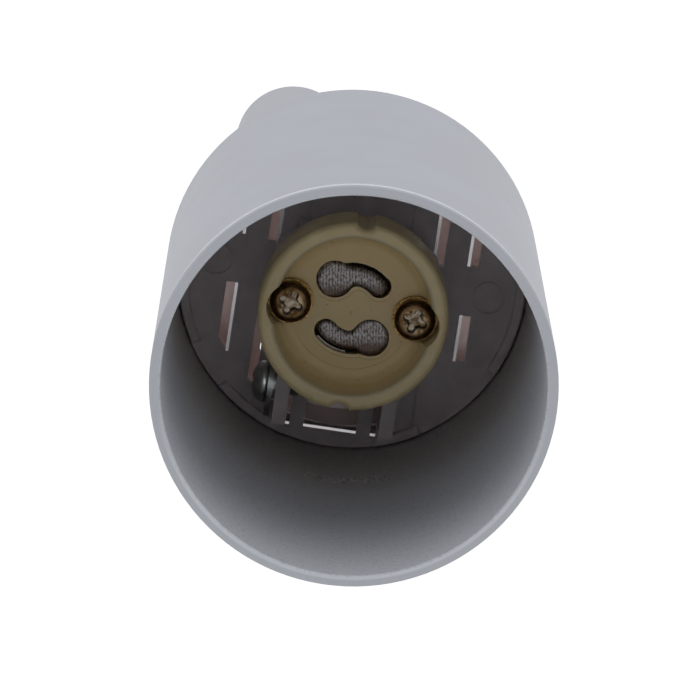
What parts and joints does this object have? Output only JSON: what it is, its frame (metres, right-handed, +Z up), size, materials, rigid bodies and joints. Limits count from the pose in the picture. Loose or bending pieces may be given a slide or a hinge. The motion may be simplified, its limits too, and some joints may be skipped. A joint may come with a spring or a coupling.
{
  "type": "spotlight head",
  "caption": "Round can spotlight head with a ceramic twist-lock lamp holder, a vented rear frame and a rear cap with a threaded stem boss.",
  "frame": {"origin": "centre of the lamp socket's floor, on the can's axis", "axes": "-Y out of the mouth along the can's axis, +Z up as the head hangs in the picture, +X to the right seen from the front"},
  "size_m": [0.055, 0.104, 0.055],
  "materials": {
    "powder_coat": "satin",
    "frame_casting": "satin",
    "steatite": "matte",
    "contact_metal": "matte",
    "spring_steel": "satin",
    "yellow_passivated_steel": "satin",
    "dark_zinc_steel": "satin",
    "zinc_steel": "satin",
    "bush_plastic": "matte"
  },
  "bodies": {
    "root": {"shade_tube": "powder_coat", "rear_frame": "frame_casting", "rear_cap": "powder_coat", "holder_body": "steatite", "holder_base": "steatite", "contact_upper": "contact_metal", "contact_lower": "contact_metal", "contact_spring_upper": "spring_steel", "contact_spring_lower": "spring_steel", "holder_screw_left": "yellow_passivated_steel", "holder_screw_right": "yellow_passivated_steel", "spring_washer_left": "yellow_passivated_steel", "spring_washer_right": "yellow_passivated_steel", "earth_screw": "dark_zinc_steel", "earth_washer": "zinc_steel", "earth_lock_washer": "zinc_steel", "cap_screw_left": "zinc_steel", "cap_screw_right": "zinc_steel", "cap_washer_left": "zinc_steel", "cap_washer_right": "zinc_steel", "wire_bush": "bush_plastic", "stem_lock_screw": "dark_zinc_steel"}
  },
  "joints": []
}
